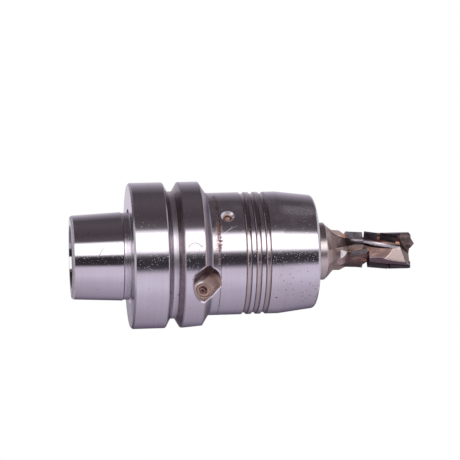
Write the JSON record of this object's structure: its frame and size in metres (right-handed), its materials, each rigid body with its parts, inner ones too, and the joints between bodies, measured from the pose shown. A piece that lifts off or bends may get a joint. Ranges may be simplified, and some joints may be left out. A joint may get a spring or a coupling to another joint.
{
  "type": "hydraulic expansion tool chuck",
  "caption": "Hydraulic expansion chuck with a hollow taper shank and a grooved flange, clamping a shank router cutter with brazed staggered tips.",
  "frame": {"origin": "centre of the shank's end face, on the spindle axis; the part stands on that end", "axes": "+Z along the spindle axis from the shank's end towards the cutter's tip; the clamping screw's pocket opens towards -Y and +X, the bleed plug towards -Y and -X"},
  "size_m": [0.063, 0.063, 0.1502],
  "materials": {
    "base_body": "ground and hardened steel, bright",
    "front_casing": "ground steel, bright, small rust spots at the seam",
    "expansion_sleeve": "honed steel",
    "clamping_screw": "hardened steel, browned",
    "pressure_piston": "ground steel",
    "piston_seal": "rubber",
    "bleed_plug": "bright steel",
    "bleed_ball": "steel, lightly rusted",
    "stop_screw": "blackened steel",
    "stop_ring": "rubber",
    "tool_body": "ground steel with brown heat tint",
    "cutting_tip": "dark sintered tip, satin",
    "rear_tip": "grey carbide, satin",
    "plunge_tip": "dark carbide, satin"
  },
  "bodies": {
    "holder": {"base_body": "base_body", "front_casing": "front_casing", "expansion_sleeve": "expansion_sleeve", "bleed_plug": "bleed_plug", "bleed_ball": "bleed_ball"},
    "piston": {"pressure_piston": "pressure_piston", "piston_seal": "piston_seal"},
    "clamping_screw": {"clamping_screw": "clamping_screw"},
    "stop_ring": {"stop_ring": "stop_ring"},
    "stop_screw": {"stop_screw": "stop_screw"},
    "cutter": {"tool_body": "tool_body", "rear_tip_1": "rear_tip", "rear_tip_2": "rear_tip", "rear_tip_3": "rear_tip", "middle_tip_1": "cutting_tip", "middle_tip_2": "cutting_tip", "middle_tip_3": "cutting_tip", "front_tip_1": "cutting_tip", "front_tip_2": "cutting_tip", "front_tip_3": "cutting_tip", "plunge_tip": "plunge_tip"}
  },
  "joints": [
    {"name": "piston_travel", "type": "slide", "parent": "holder", "child": "piston", "axis": [-0.3468, -0.9276, 0.1392], "range_m": [0, 0.005]},
    {"name": "clamping_screw_turn", "type": "hinge", "parent": "piston", "child": "clamping_screw", "pos_m": [0.01522, -0.01855, 0.05479], "axis": [-0.3468, -0.9276, 0.1392], "range_deg": [0, 1800]},
    {"name": "stop_screw_travel", "type": "slide", "parent": "holder", "child": "stop_ring", "axis": [0, 0, -1], "range_m": [0, 0.01]},
    {"name": "stop_screw_turn", "type": "hinge", "parent": "stop_ring", "child": "stop_screw", "pos_m": [0, 0, 0.035], "axis": [0, 0, -1], "range_deg": [0, 3600]},
    {"name": "tool_withdrawal", "type": "slide", "parent": "holder", "child": "cutter", "axis": [0, 0, 1], "range_m": [0, 0.062]}
  ],
  "couplings": [
    {"joint": "clamping_screw_turn", "follows": "piston_travel", "rad_per_m": 6283.2},
    {"joint": "stop_screw_turn", "follows": "stop_screw_travel", "rad_per_m": 6283.2}
  ]
}
